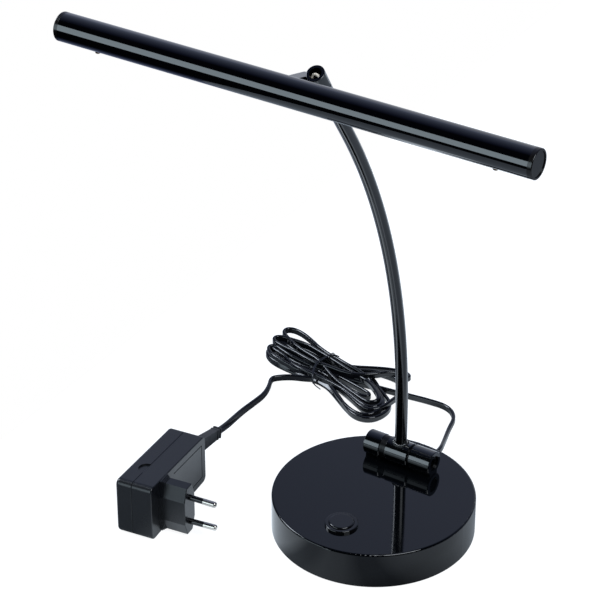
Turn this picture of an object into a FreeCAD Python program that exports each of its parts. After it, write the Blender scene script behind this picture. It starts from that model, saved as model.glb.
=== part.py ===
import FreeCAD, Part
import math
import os

# Piano lamp on a round weighted base.
# A curved arm stands in a friction hinge on the base, and carries a slim tube
# head on a second friction joint.  A two-core lead joins the base to a plug-in
# mains adaptor, with its slack tied in a hank.
# Millimetres.  +Z is up, +X runs along the head, and the front is -Y.
# The origin is the centre of the base on the table.

V = FreeCAD.Vector
X = V(1, 0, 0)
Y = V(0, 1, 0)
Z = V(0, 0, 1)

# Fits
RUN_GAP = 0.05           # radial gap of a turning shaft
SLIDE_GAP = 0.15         # radial gap of the push button
THRUST_GAP = 0.1         # end gap between faces that turn past each other
HOLE_GAP = 0.15          # radial gap of a screw or a barrel in its hole
LOOSE_GAP = 0.3          # gap round pieces that only lie in a housing
TOUCH = 1e-6             # lengths below this count as none

# Base
BASE_D = 130.0
BASE_TOP = 25.3          # height of the top face
COVER_WALL = 1.8
COVER_ROOF = 2.4
TOP_EDGE_R = 1.2
RIM_LIFT = 0.8           # the cover's rim hangs clear of the table
PAD_INSET = 4.5          # pad's edge inside the cover's
PAD_T = 1.6
PAD_EDGE = 0.3
PLATE_T = 1.5
WEIGHT_T = 12.0
WEIGHT_MARGIN = 4.0      # between the weight and the cover's wall
STUD_COUNT = 4
STUD_INSET = 15.0        # stud's centre inside the cover's edge
STUD_START = 45.0        # angle of the first stud, degrees
STUD_D = 8.0
PLATE_SCREW_D = 3.0
PLATE_SCREW_HEAD_D = 5.8
PLATE_SCREW_L = 12.0

# Push switch
SWITCH_INSET = 25.9      # its centre inside the base's front edge
BEZEL_D = 21.0
BEZEL_T = 1.8
BEZEL_EDGE_R = 0.6
SWITCH_BARREL_D = 18.4
SWITCH_BARREL_L = 10.5   # below the top face
BUTTON_D = 16.0
BUTTON_PROUD = 2.8
BUTTON_EDGE_R = 0.9
BUTTON_TRAVEL = 1.2
SWITCH_NUT_AF = 22.0
SWITCH_NUT_T = 2.5
SWITCH_BODY_L = 6.5
TERMINAL_W = 2.8
TERMINAL_T = 0.6
TERMINAL_L = 3.0
TERMINAL_SPACING = 9.0
SWITCH_WELL_D = 27.0     # hole through the weight

# Base hinge, along X
HINGE_INSET = 26.6       # its axis inside the base's back edge
HINGE_D = 16.0
HINGE_LIFT = 0.3         # the turning barrel clears the base top
FOOT_W = 9.0
FOOT_BITE = 0.5          # the foot's fillet of weld into the barrel
BARREL_CHAMFER = 0.4
ARM_X = -3.0             # plane of the arm
MIDDLE_BARREL_L = 16.4
LEFT_BARREL_L = 11.5
RIGHT_BARREL_L = 15.4
DISC_T = 1.9             # two friction discs on the left
DISC_D = 15.0
SPACER_T = 1.3           # one spacer on the right
SPACER_D = 13.2
HINGE_BOLT_D = 6.0
HINGE_HEAD_D = 10.0
HINGE_HEAD_T = 6.0
HINGE_HEAD_SET_IN = 1.2  # bolt head below the barrel's end
HEX_KEY_AF = 5.0
HEX_KEY_DEPTH = 3.0
HINGE_NUT_AF = 10.0
HINGE_NUT_T = 5.0
HINGE_NUT_SET_IN = 0.5
FOOT_SCREW_D = 4.0
FOOT_SCREW_HEAD_D = 7.0
FOOT_SCREW_HEAD_T = 2.8
FOOT_SCREW_BITE = 4.2    # thread in the barrel

# Arm
ARM_D = 8.0
ARM_BORE_D = 6.0
ARM_SOCKET = 4.0         # how deep the tube stands in the turning barrel
ARM_FOOT_L = 28.0        # upright stretch above the hinge axis
ARM_BEND_R = 428.7
ARM_BEND = 33.5          # degrees the arm leans at its top
ARM_TOP_L = 62.1         # straight stretch from the bend to the knuckle's rim
WIRE_D = 2.6
KNUCKLE_D = 11.0         # at its rim
KNUCKLE_FOOT_D = 9.8     # where it takes the tube
KNUCKLE_L = 22.0
KNUCKLE_BORE_D = 7.4
KNUCKLE_SOCKET = 6.5
KNUCKLE_FLAT = 1.2       # depth of the flat that the head joint bears on
KNUCKLE_EDGE_R = 0.4

# Head joint, along X
PIVOT_DROP = 12.5        # below the knuckle's rim
PIVOT_D = 4.0
PIVOT_HEAD_D = 7.0
PIVOT_HEAD_T = 2.2
PIVOT_KEY_AF = 2.5
PIVOT_KEY_DEPTH = 1.4
PIVOT_REACH = 5.0        # bolt beyond the arm's plane
WASHER_D = 8.8
WASHER_T = 1.5
NECK_SPAN = 35.76        # from the pivot to the head's axis
NECK_RISE = 17.45        # degrees above level
NECK_T = 7.5             # along X
NECK_BOSS_D = 9.8
NECK_END_W = 7.2
NECK_EDGE_R = 1.2
SADDLE_L = 30.0
SADDLE_T = 1.6
SADDLE_SPREAD = 24.0     # degrees each side of the neck
NECK_SCREW_D = 3.0
NECK_SCREW_HEAD_D = 5.2
NECK_SCREW_HEAD_T = 1.6
NECK_SCREW_SPACING = 20.0

# Head
HEAD_D = 17.3
HEAD_L = 306.7
HEAD_WALL = 1.2
SHELF_RISE = 3.0         # underside of the inner shelf above the head's axis
SHELF_T = 1.2
SLOT_W = 11.0
CAP_T = 2.8
CAP_PLUG_L = 6.0
CAP_RIM = 1.3
CAP_DISH = 0.5
CAP_EDGE_R = 0.5
BOARD_W = 9.0
BOARD_T = 1.2
BOARD_MARGIN = 12.0      # from the cap's face to the board's end
CHIP_COUNT = 28          # between the two tip screws
CHIP_CLEAR = 2.0         # from a tip screw to the nearest chip's space
CHIP_L = 3.5
CHIP_W = 2.8
CHIP_T = 0.8
DIFFUSER_T = 2.2         # at the slot's edges
DIFFUSER_LIP = 0.8       # ledge each side above the slot
LIP_T = 0.8
TIP_SCREW_INSET = 25.0   # from the head's end
TIP_SCREW_D = 2.0
TIP_SCREW_HEAD_D = 3.4
TIP_SCREW_HEAD_T = 1.9

# Adaptor, in its own axes: along its length, up, and out along the plug
ADAPTOR_CORNER = V(-109.3, -89.9, 0)
ADAPTOR_YAW = 7.07
ADAPTOR_L = 74.7
ADAPTOR_NEAR_H = 40.3
ADAPTOR_FAR_H = 35.2
FRONT_T = 14.15
REAR_T = 11.4
ADAPTOR_WALL = 2.0
ADAPTOR_CORNER_R = 4.0
FRONT_EDGE_R = 0.8
REAR_EDGE_R = 2.2
INNER_CORNER_R = 0.5     # least radius of an inset outline's corners
SEAM_CHAMFER = 0.35
PANEL_INSET = 5.0
PANEL_GROOVE_W = 0.7
PANEL_GROOVE_DEPTH = 0.5
NOTCH_A = 21.5
NOTCH_R = 5.6
NOTCH_DEPTH = 1.0
PLUG_A = 17.2            # plug's centre along the adaptor
PLUG_B = 19.8            # and above its lower edge
NOSE_H = 35.3
NOSE_W = 13.7
NOSE_TIP_W = 6.6
NOSE_FLAT_H = 17.0
NOSE_L = 18.3
STEP_COUNT = 3
STEP_W = 0.5
STEP_T = 0.9
NOSE_EDGE_R = 0.5
PIN_SPACING = 18.6
PIN_LEAN = 1.36          # degrees, towards each other
PIN_L = 19.0
PIN_D = 4.0
PIN_NECK_D = 3.0
PIN_TIP_R = 1.3
PIN_ROOT = 8.0
SLEEVE_L = 10.0
SLEEVE_D = 3.8
CIRCUIT_L = 58.0
CIRCUIT_H = 26.0
CIRCUIT_T = 1.6
CIRCUIT_A = 8.0
CIRCUIT_B = 4.0
TRANSFORMER_L = 20.0
TRANSFORMER_H = 18.0
TRANSFORMER_T = 12.0
TRANSFORMER_A = 36.0
RELIEF_ROOT = 3.0        # inside the housing
RELIEF_ROOT_W = 6.4
RELIEF_ROOT_H = 12.2
RELIEF_TIP_W = 5.2
RELIEF_TIP_H = 6.4
RELIEF_FLANGES = 2
RELIEF_FLANGE_W = 6.0
RELIEF_FLANGE_H = 7.2
RELIEF_FLANGE_T = 1.4
RELIEF_FLANGE_PITCH = 3.4

# Lead
CORD_D = 4.8
ARC_SHARE = 0.45
BASE_ROUTE = [
    V(0.0, 78.5, 8.0),
    V(0.0, 86.5, 8.0),
    V(-2.9, 94.5, 5.8),
    V(-6.6, 104.5, 3.4),
    V(-10.6, 116.5, 2.5),
    V(-14.0, 131.5, 2.55),
    V(-24.5, 139.6, 2.5),
    V(-40.0, 138.8, 2.55),
    V(-54.8, 136.8, 2.5),
]
PLUG_ROUTE = [
    V(-136.4, 24.5, 7.9),
    V(-137.4, 36.0, 5.6),
    V(-139.2, 48.2, 3.6),
    V(-140.3, 60.4, 2.5),
    V(-139.3, 72.6, 2.55),
    V(-139.2, 84.5, 2.5),
    V(-143.2, 95.2, 2.55),
    V(-142.2, 106.2, 2.5),
    V(-135.2, 114.2, 2.55),
    V(-125.6, 117.4, 2.5),
    V(-119.0, 121.1, 2.55),
]
GROMMET_FLANGE_D = 9.0
GROMMET_FLANGE_T = 1.5
GROMMET_NECK_D = 6.0
GROMMET_TAPER_D = 7.4
GROMMET_TIP_D = 5.6

# Hank
HANK_LEFT = V(-153.5, 142.0, 0)
HANK_RIGHT = V(-80.6, 129.1, 0)
HANK_LEFT_R = 16.5
HANK_RIGHT_R = 31.0
HANK_WAIST_R = 60.0
HANK_BOTTOM = 0.4
HANK_H = 9.2
HANK_EDGE_R = 2.5
TIE_AHEAD = 41.7         # from the middle of the hank's left end
TIE_W = 1.2
TIE_T = 0.9
TIE_PROUD = 0.3

# Worked out from the values above
PLATE_TOP = PAD_T + PLATE_T
ROOF_UNDER = BASE_TOP - COVER_ROOF
BORE_R = BASE_D / 2 - COVER_WALL
PAD_D = BASE_D - 2 * PAD_INSET
SWITCH_Y = SWITCH_INSET - BASE_D / 2
HINGE_Y = BASE_D / 2 - HINGE_INSET
HINGE_Z = BASE_TOP + HINGE_LIFT + HINGE_D / 2
MIDDLE_LEFT = ARM_X - MIDDLE_BARREL_L / 2
MIDDLE_RIGHT = ARM_X + MIDDLE_BARREL_L / 2
LEFT_BARREL_END = MIDDLE_LEFT - 2 * (DISC_T + THRUST_GAP)
RIGHT_BARREL_START = MIDDLE_RIGHT + THRUST_GAP + SPACER_T
RIGHT_BARREL_END = RIGHT_BARREL_START + RIGHT_BARREL_L
LEFT_BARREL_START = LEFT_BARREL_END - LEFT_BARREL_L
HINGE_HEAD_SEAT = RIGHT_BARREL_END - HINGE_HEAD_SET_IN - HINGE_HEAD_T
HINGE_NUT_START = LEFT_BARREL_START + HINGE_NUT_SET_IN
LEFT_FOOT_SCREW = (HINGE_NUT_START + HINGE_NUT_T + LEFT_BARREL_END) / 2
RIGHT_FOOT_SCREW = (RIGHT_BARREL_START + HINGE_HEAD_SEAT) / 2
ARM_ROOT_Z = HINGE_Z + HINGE_D / 2 - ARM_SOCKET
LEAN = math.radians(ARM_BEND)
ARM_DIR = V(0, -math.sin(LEAN), math.cos(LEAN))
BEND_START = V(ARM_X, HINGE_Y, HINGE_Z + ARM_FOOT_L)
BEND_CENTRE = BEND_START - Y * ARM_BEND_R
BEND_MIDDLE = BEND_CENTRE + V(0, math.cos(LEAN / 2), math.sin(LEAN / 2)) * ARM_BEND_R
BEND_END = BEND_CENTRE + V(0, math.cos(LEAN), math.sin(LEAN)) * ARM_BEND_R
RIM = BEND_END + ARM_DIR * ARM_TOP_L
PIVOT = RIM - ARM_DIR * PIVOT_DROP
FLAT_X = ARM_X - KNUCKLE_D / 2 + KNUCKLE_FLAT
NECK_RIGHT = FLAT_X - WASHER_T - THRUST_GAP
NECK_LEFT = NECK_RIGHT - NECK_T
NECK_X = (NECK_LEFT + NECK_RIGHT) / 2
HEAD_R = HEAD_D / 2
HEAD_BORE_R = HEAD_R - HEAD_WALL
HEAD_LEFT = ARM_X - HEAD_L / 2
HEAD_RIGHT = ARM_X + HEAD_L / 2
NECK_DIR = V(0, -math.cos(math.radians(NECK_RISE)), math.sin(math.radians(NECK_RISE)))
HEAD_AXIS = V(NECK_X, PIVOT.y, PIVOT.z) + NECK_DIR * NECK_SPAN
HEAD_Y = HEAD_AXIS.y
HEAD_Z = HEAD_AXIS.z
YAW = math.radians(ADAPTOR_YAW)
ADAPTOR_A = V(-math.sin(YAW), math.cos(YAW), 0)
ADAPTOR_C = V(math.cos(YAW), math.sin(YAW), 0)


def rod(diameter, start, axis, length):
    return Part.makeCylinder(diameter / 2, length, start, axis)


def sleeve(outer, inner, start, axis, length):
    return rod(outer, start, axis, length).cut(rod(inner, start, axis, length))


def flat_face(corners):
    return Part.Face(Part.makePolygon(corners + corners[:1]))


def hexagon(across_flats, start, axis, length):
    """Hexagonal bar along an axis."""
    sides = 6
    half_side_turn = math.pi / sides
    radius = across_flats / 2 / math.cos(half_side_turn)
    turns = [2 * half_side_turn * k for k in range(sides)]
    corners = [V(radius * math.cos(turn), radius * math.sin(turn), 0) for turn in turns]
    bar = flat_face(corners).extrude(Z * length)
    bar.Placement = FreeCAD.Placement(start, FreeCAD.Rotation(Z, axis))
    return bar


def block(low, high):
    size = high - low
    return Part.makeBox(size.x, size.y, size.z, low)


def one(shape):
    """The single solid of a shape, with leftover seams removed."""
    clean = shape.removeSplitter()
    return clean.Solids[0] if len(clean.Solids) == 1 else clean


def flat_ring_edges(shape, axis, place, radius):
    """Circular edges of one radius that lie in the plane at a place along an axis."""
    return [edge for edge in shape.Edges
            if isinstance(edge.Curve, Part.Circle)
            and abs(edge.Curve.Radius - radius) < TOUCH
            and abs(edge.Curve.Center.dot(axis) - place) < TOUCH]


# ---------------------------------------------------------------- base
def stud_ring():
    """Centres of the studs, evenly spaced round the base."""
    radius = BASE_D / 2 - STUD_INSET
    turns = [math.radians(STUD_START) + 2 * math.pi * k / STUD_COUNT for k in range(STUD_COUNT)]
    return [V(radius * math.cos(turn), radius * math.sin(turn), 0) for turn in turns]


STUDS = stud_ring()


def base_cover():
    """Drawn steel cover, open below, with four screw studs under its roof."""
    shell = rod(BASE_D, Z * RIM_LIFT, Z, BASE_TOP - RIM_LIFT)
    shell = shell.makeFillet(TOP_EDGE_R, flat_ring_edges(shell, Z, BASE_TOP, BASE_D / 2))
    shell = shell.cut(rod(2 * BORE_R, V(), Z, ROOF_UNDER))
    for stud in STUDS:
        foot = stud + Z * PLATE_TOP
        shell = shell.fuse(rod(STUD_D, foot, Z, ROOF_UNDER - PLATE_TOP))
        shell = shell.cut(rod(PLATE_SCREW_D, foot, Z, PLATE_SCREW_L - PLATE_T))
    switch_hole = SWITCH_BARREL_D + 2 * HOLE_GAP
    shell = shell.cut(rod(switch_hole, V(0, SWITCH_Y, ROOF_UNDER), Z, COVER_ROOF))
    for x in (LEFT_FOOT_SCREW, RIGHT_FOOT_SCREW):
        hole = FOOT_SCREW_D + 2 * HOLE_GAP
        shell = shell.cut(rod(hole, V(x, HINGE_Y, ROOF_UNDER), Z, COVER_ROOF))
    outlet = V(BASE_ROUTE[0].x, 0, BASE_ROUTE[0].z)
    outlet_hole = GROMMET_NECK_D + 2 * HOLE_GAP
    return one(shell.cut(rod(outlet_hole, outlet, Y, BASE_D)))


def base_weight():
    """Cast disc with room for the studs, the switch and the lead."""
    disc = rod(2 * (BORE_R - WEIGHT_MARGIN), Z * PLATE_TOP, Z, WEIGHT_T)
    for stud in STUDS:
        disc = disc.cut(rod(STUD_D + 2 * LOOSE_GAP, stud, Z, BASE_TOP))
    disc = disc.cut(rod(SWITCH_WELL_D, V(0, SWITCH_Y, 0), Z, BASE_TOP))
    channel = GROMMET_FLANGE_D / 2
    return one(disc.cut(block(V(-channel, 0, 0), V(channel, BASE_D / 2, BASE_TOP))))


def plate_screw(place):
    """Countersunk screw, driven up into a stud."""
    head_r = PLATE_SCREW_HEAD_D / 2
    shank_r = PLATE_SCREW_D / 2
    cone = Part.makeCone(head_r, shank_r, PLATE_T, place + Z * PAD_T, Z)
    return one(cone.fuse(rod(PLATE_SCREW_D, place + Z * PAD_T, Z, PLATE_SCREW_L)))


def base_plate():
    plate = rod(2 * (BORE_R - LOOSE_GAP), Z * PAD_T, Z, PLATE_T)
    for stud in STUDS:
        plate = plate.cut(plate_screw(stud))
    return one(plate)


def base_plate_screws():
    return Part.makeCompound([plate_screw(stud) for stud in STUDS])


def foot_pad():
    pad = rod(PAD_D, V(), Z, PAD_T)
    return pad.makeChamfer(PAD_EDGE, flat_ring_edges(pad, Z, 0, PAD_D / 2))


def cord_grommet():
    """Moulded bush: flanges on both faces of the wall and a tapered tail."""
    tail_end = BASE_ROUTE[0]
    wall_out = V(tail_end.x, BASE_D / 2, tail_end.z)
    wall_in = wall_out - Y * (COVER_WALL + LOOSE_GAP)
    bush = rod(GROMMET_FLANGE_D, wall_out, Y, GROMMET_FLANGE_T)
    bush = bush.fuse(rod(GROMMET_NECK_D, wall_in, Y, COVER_WALL + LOOSE_GAP))
    bush = bush.fuse(rod(GROMMET_FLANGE_D, wall_in - Y * GROMMET_FLANGE_T, Y, GROMMET_FLANGE_T))
    tail_start = wall_out + Y * GROMMET_FLANGE_T
    tail_l = tail_end.y - tail_start.y
    tail = Part.makeCone(GROMMET_TAPER_D / 2, GROMMET_TIP_D / 2, tail_l, tail_start, Y)
    return one(bush.fuse(tail))


# ---------------------------------------------------------------- switch
BARREL_BOTTOM = BASE_TOP - SWITCH_BARREL_L
SWITCH_AXIS = V(0, SWITCH_Y, 0)


def switch_bezel():
    rim = rod(BEZEL_D, SWITCH_AXIS + Z * BASE_TOP, Z, BEZEL_T)
    top_edge = flat_ring_edges(rim, Z, BASE_TOP + BEZEL_T, BEZEL_D / 2)
    rim = rim.makeFillet(BEZEL_EDGE_R, top_edge)
    rim = rim.fuse(rod(SWITCH_BARREL_D, SWITCH_AXIS + Z * BARREL_BOTTOM, Z, SWITCH_BARREL_L))
    bore = BUTTON_D + 2 * SLIDE_GAP
    return one(rim.cut(rod(bore, SWITCH_AXIS, Z, BASE_TOP + BEZEL_T)))


def switch_nut():
    under = SWITCH_AXIS + Z * (ROOF_UNDER - SWITCH_NUT_T)
    nut = hexagon(SWITCH_NUT_AF, under, Z, SWITCH_NUT_T)
    return one(nut.cut(rod(SWITCH_BARREL_D, under, Z, SWITCH_NUT_T)))


def switch_body():
    """Contact housing on the barrel's lower end, with two solder tags."""
    bottom = BARREL_BOTTOM - SWITCH_BODY_L
    housing = rod(SWITCH_BARREL_D, SWITCH_AXIS + Z * bottom, Z, SWITCH_BODY_L)
    for side in (-1, 1):
        x = side * TERMINAL_SPACING / 2
        low = V(x - TERMINAL_T / 2, SWITCH_Y - TERMINAL_W / 2, bottom - TERMINAL_L)
        high = V(x + TERMINAL_T / 2, SWITCH_Y + TERMINAL_W / 2, bottom)
        housing = housing.fuse(block(low, high))
    return one(housing)


def switch_button():
    """Push cap.  It clears the housing below by more than its travel."""
    bottom = BARREL_BOTTOM + BUTTON_TRAVEL + LOOSE_GAP
    top = BASE_TOP + BUTTON_PROUD
    cap = rod(BUTTON_D, SWITCH_AXIS + Z * bottom, Z, top - bottom)
    return cap.makeFillet(BUTTON_EDGE_R, flat_ring_edges(cap, Z, top, BUTTON_D / 2))


# ---------------------------------------------------------------- base hinge
def hinge_axis(x):
    return V(x, HINGE_Y, HINGE_Z)


def barrel(start, end):
    """Hinge barrel with chamfered ends and a bore for the bolt."""
    body = rod(HINGE_D, hinge_axis(start), X, end - start)
    rims = flat_ring_edges(body, X, start, HINGE_D / 2) + flat_ring_edges(body, X, end, HINGE_D / 2)
    body = body.makeChamfer(BARREL_CHAMFER, rims)
    return body.cut(rod(HINGE_BOLT_D + 2 * RUN_GAP, hinge_axis(start), X, end - start))


def fixed_barrel(start, end, screw_x):
    """Barrel on a flat foot, tapped from below for its screw."""
    inset = BARREL_CHAMFER
    foot = block(V(start + inset, HINGE_Y - FOOT_W / 2, BASE_TOP),
                 V(end - inset, HINGE_Y + FOOT_W / 2, HINGE_Z - HINGE_BOLT_D / 2 - RUN_GAP))
    foot = foot.cut(rod(HINGE_D - 2 * FOOT_BITE, hinge_axis(start), X, end - start))
    body = barrel(start, end).fuse(foot)
    return body.cut(rod(FOOT_SCREW_D, V(screw_x, HINGE_Y, BASE_TOP), Z, FOOT_SCREW_BITE))


def hinge_left_barrel():
    """Fixed barrel with a pocket for the hexagon nut."""
    pocket_l = HINGE_NUT_START - LEFT_BARREL_START + HINGE_NUT_T
    body = fixed_barrel(LEFT_BARREL_START, LEFT_BARREL_END, LEFT_FOOT_SCREW)
    return one(body.cut(hexagon(HINGE_NUT_AF, hinge_axis(LEFT_BARREL_START), X, pocket_l)))


def hinge_right_barrel():
    """Fixed barrel, counterbored for the bolt's head."""
    body = fixed_barrel(RIGHT_BARREL_START, RIGHT_BARREL_END, RIGHT_FOOT_SCREW)
    counterbore_l = RIGHT_BARREL_END - HINGE_HEAD_SEAT
    counterbore = rod(HINGE_HEAD_D + 2 * HOLE_GAP, hinge_axis(HINGE_HEAD_SEAT), X, counterbore_l)
    return one(body.cut(counterbore))


def hinge_middle_barrel():
    """Turning barrel with a socket for the arm."""
    body = barrel(MIDDLE_LEFT, MIDDLE_RIGHT)
    return one(body.cut(rod(ARM_D, V(ARM_X, HINGE_Y, ARM_ROOT_Z), Z, HINGE_D)))


def hinge_washers():
    bore = HINGE_BOLT_D
    discs = [sleeve(DISC_D, bore, hinge_axis(LEFT_BARREL_END + k * (DISC_T + THRUST_GAP)), X, DISC_T)
             for k in range(2)]
    spacer = sleeve(SPACER_D, bore, hinge_axis(MIDDLE_RIGHT + THRUST_GAP), X, SPACER_T)
    return Part.makeCompound(discs + [spacer])


def hinge_bolt():
    """Socket-head bolt through all three barrels."""
    shank = rod(HINGE_BOLT_D, hinge_axis(HINGE_NUT_START), X, HINGE_HEAD_SEAT - HINGE_NUT_START)
    head = rod(HINGE_HEAD_D, hinge_axis(HINGE_HEAD_SEAT), X, HINGE_HEAD_T)
    key_start = HINGE_HEAD_SEAT + HINGE_HEAD_T - HEX_KEY_DEPTH
    key = hexagon(HEX_KEY_AF, hinge_axis(key_start), X, HEX_KEY_DEPTH)
    return one(shank.fuse(head).cut(key))


def hinge_nut():
    nut = hexagon(HINGE_NUT_AF, hinge_axis(HINGE_NUT_START), X, HINGE_NUT_T)
    return one(nut.cut(rod(HINGE_BOLT_D, hinge_axis(HINGE_NUT_START), X, HINGE_NUT_T)))


def hinge_foot_screws():
    """Screws from inside the base, one up into each fixed barrel."""
    screws = []
    for x in (LEFT_FOOT_SCREW, RIGHT_FOOT_SCREW):
        seat = V(x, HINGE_Y, ROOF_UNDER)
        head = rod(FOOT_SCREW_HEAD_D, seat - Z * FOOT_SCREW_HEAD_T, Z, FOOT_SCREW_HEAD_T)
        shank = rod(FOOT_SCREW_D, seat, Z, COVER_ROOF + FOOT_SCREW_BITE)
        screws.append(one(head.fuse(shank)))
    return Part.makeCompound(screws)


# ---------------------------------------------------------------- arm
def arm_path():
    """Upright foot, long gentle bend, then straight into the knuckle."""
    top = RIM - ARM_DIR * (KNUCKLE_L - KNUCKLE_SOCKET)
    foot = Part.LineSegment(V(ARM_X, HINGE_Y, ARM_ROOT_Z), BEND_START)
    bend = Part.Arc(BEND_START, BEND_MIDDLE, BEND_END)
    return Part.Wire([foot.toShape(), bend.toShape(), Part.LineSegment(BEND_END, top).toShape()])


def along(path, diameter):
    """Round bar that follows a path."""
    first = path.Edges[0]
    start = first.valueAt(first.FirstParameter)
    heading = first.tangentAt(first.FirstParameter)
    circle = Part.Wire(Part.Circle(start, heading, diameter / 2).toShape())
    return path.makePipeShell([circle], True, False)


def arm_tube():
    return one(along(arm_path(), ARM_D).cut(along(arm_path(), ARM_BORE_D)))


def arm_wires():
    return along(arm_path(), WIRE_D)


def arm_knuckle():
    """Slightly flared sleeve on the arm's end, open on top and crossed by the pivot bolt."""
    bottom = RIM - ARM_DIR * KNUCKLE_L
    body = Part.makeCone(KNUCKLE_FOOT_D / 2, KNUCKLE_D / 2, KNUCKLE_L, bottom, ARM_DIR)
    body = body.makeFillet(KNUCKLE_EDGE_R, flat_ring_edges(body, ARM_DIR, RIM.dot(ARM_DIR), KNUCKLE_D / 2))
    body = body.cut(rod(ARM_D, bottom, ARM_DIR, KNUCKLE_SOCKET))
    body = body.cut(rod(KNUCKLE_BORE_D, bottom, ARM_DIR, KNUCKLE_L))
    body = body.cut(rod(KNUCKLE_L, V(FLAT_X, PIVOT.y, PIVOT.z), -X, KNUCKLE_D))
    hole = rod(PIVOT_D, V(NECK_LEFT, PIVOT.y, PIVOT.z), X, ARM_X + PIVOT_REACH - NECK_LEFT)
    return one(body.cut(hole))


# ---------------------------------------------------------------- head joint
def pivot_at(x):
    return V(x, PIVOT.y, PIVOT.z)


def pivot_bolt():
    """Low-head bolt, screwed into the knuckle through the neck."""
    end = ARM_X + PIVOT_REACH
    head = rod(PIVOT_HEAD_D, pivot_at(NECK_LEFT), X, PIVOT_HEAD_T)
    shank = rod(PIVOT_D, pivot_at(NECK_LEFT), X, end - NECK_LEFT)
    return one(head.fuse(shank).cut(hexagon(PIVOT_KEY_AF, pivot_at(NECK_LEFT), X, PIVOT_KEY_DEPTH)))


def friction_washer():
    return sleeve(WASHER_D, PIVOT_D, pivot_at(FLAT_X - WASHER_T), X, WASHER_T)


def head_neck():
    """Arm from the pivot to a curved saddle that hugs the back of the head."""
    side = NECK_DIR.cross(X)
    origin = pivot_at(NECK_LEFT)
    tip = origin + NECK_DIR * NECK_SPAN
    web = flat_face([
        origin + side * (NECK_BOSS_D / 2),
        origin - side * (NECK_BOSS_D / 2),
        tip - side * (NECK_END_W / 2),
        tip + side * (NECK_END_W / 2),
    ]).extrude(X * NECK_T)
    neck = one(rod(NECK_BOSS_D, origin, X, NECK_T).fuse(web))
    outer_rims = [edge for edge in neck.Edges if edge.BoundBox.XMax < NECK_LEFT + TOUCH]
    neck = neck.makeFillet(NECK_EDGE_R, outer_rims)
    saddle_start = HEAD_AXIS - X * (SADDLE_L / 2)
    spread = side * math.tan(math.radians(SADDLE_SPREAD))
    fan = flat_face([
        saddle_start,
        saddle_start - (NECK_DIR + spread) * HEAD_D,
        saddle_start - (NECK_DIR - spread) * HEAD_D,
    ]).extrude(X * SADDLE_L)
    neck = neck.fuse(rod(HEAD_D + 2 * SADDLE_T, saddle_start, X, SADDLE_L).common(fan))
    neck = neck.cut(rod(HEAD_D, saddle_start, X, SADDLE_L))
    neck = neck.cut(rod(PIVOT_D + 2 * RUN_GAP, origin, X, NECK_T))
    seat_l = PIVOT_HEAD_T + THRUST_GAP
    neck = neck.cut(rod(PIVOT_HEAD_D + 2 * HOLE_GAP, origin, X, seat_l))
    for screw in neck_screw_list():
        neck = neck.cut(screw)
    return one(neck)


def neck_screw_list():
    """Two screws from inside the head into the saddle."""
    head_seat = math.sqrt(HEAD_BORE_R ** 2 - (NECK_SCREW_HEAD_D / 2) ** 2) - THRUST_GAP
    screws = []
    for side in (-1, 1):
        foot = HEAD_AXIS + X * (side * NECK_SCREW_SPACING / 2) - NECK_DIR * head_seat
        head = rod(NECK_SCREW_HEAD_D, foot, NECK_DIR, NECK_SCREW_HEAD_T)
        shank = rod(NECK_SCREW_D, foot, -NECK_DIR, HEAD_R + SADDLE_T - head_seat)
        screws.append(one(head.fuse(shank)))
    return screws


def neck_screws():
    return Part.makeCompound(neck_screw_list())


# ---------------------------------------------------------------- head
SLOT_DEPTH_Z = math.sqrt(HEAD_R ** 2 - (SLOT_W / 2) ** 2)
LIP_BOTTOM = DIFFUSER_T - SLOT_DEPTH_Z


def head_at(x):
    return V(x, HEAD_Y, HEAD_Z)


def head_tube():
    """Extruded tube with an inner shelf, and a slot below with two lips for the diffuser."""
    start = HEAD_LEFT + CAP_T
    length = HEAD_L - 2 * CAP_T
    end = start + length
    tube = sleeve(HEAD_D, 2 * HEAD_BORE_R, head_at(start), X, length)
    reach = (HEAD_R + HEAD_BORE_R) / 2
    shelf = block(V(start, HEAD_Y - reach, HEAD_Z + SHELF_RISE),
                  V(end, HEAD_Y + reach, HEAD_Z + SHELF_RISE + SHELF_T))
    lip_z = HEAD_Z + LIP_BOTTOM
    lips = block(V(start, HEAD_Y - reach, lip_z), V(end, HEAD_Y + reach, lip_z + LIP_T))
    inside = rod(2 * reach, head_at(start), X, length)
    tube = tube.fuse(shelf.common(inside)).fuse(lips.common(inside))
    mouth = SLOT_W / 2 - DIFFUSER_LIP
    tube = tube.cut(block(V(start, HEAD_Y - mouth, HEAD_Z - HEAD_R), V(end, HEAD_Y + mouth, HEAD_Z)))
    slot = block(V(start, HEAD_Y - SLOT_W / 2, HEAD_Z - HEAD_R), V(end, HEAD_Y + SLOT_W / 2, lip_z))
    tube = tube.cut(slot)
    for screw in neck_screw_list() + tip_screw_list():
        tube = tube.cut(screw)
    return one(tube)


def end_cap(face, inward):
    """Turned cap with a dished face and a plug split by the tube's shelf."""
    axis = X * inward
    outer = head_at(face)
    cap = rod(HEAD_D, outer, axis, CAP_T)
    cap = cap.makeFillet(CAP_EDGE_R, flat_ring_edges(cap, X, face, HEAD_R))
    plug_start = outer + axis * CAP_T
    plug = rod(2 * (HEAD_BORE_R - HOLE_GAP), plug_start, axis, CAP_PLUG_L)
    below_shelf = block(V(-HEAD_D, -HEAD_D, -HEAD_D), V(HEAD_D, HEAD_D, SHELF_T + HOLE_GAP))
    below_shelf.translate(plug_start + Z * SHELF_RISE)
    plug = plug.cut(below_shelf)
    dish = rod(HEAD_D - 2 * CAP_RIM, outer, axis, CAP_DISH)
    return one(cap.fuse(plug).cut(dish))


def end_cap_left():
    return end_cap(HEAD_LEFT, 1)


def end_cap_right():
    return end_cap(HEAD_RIGHT, -1)


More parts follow.
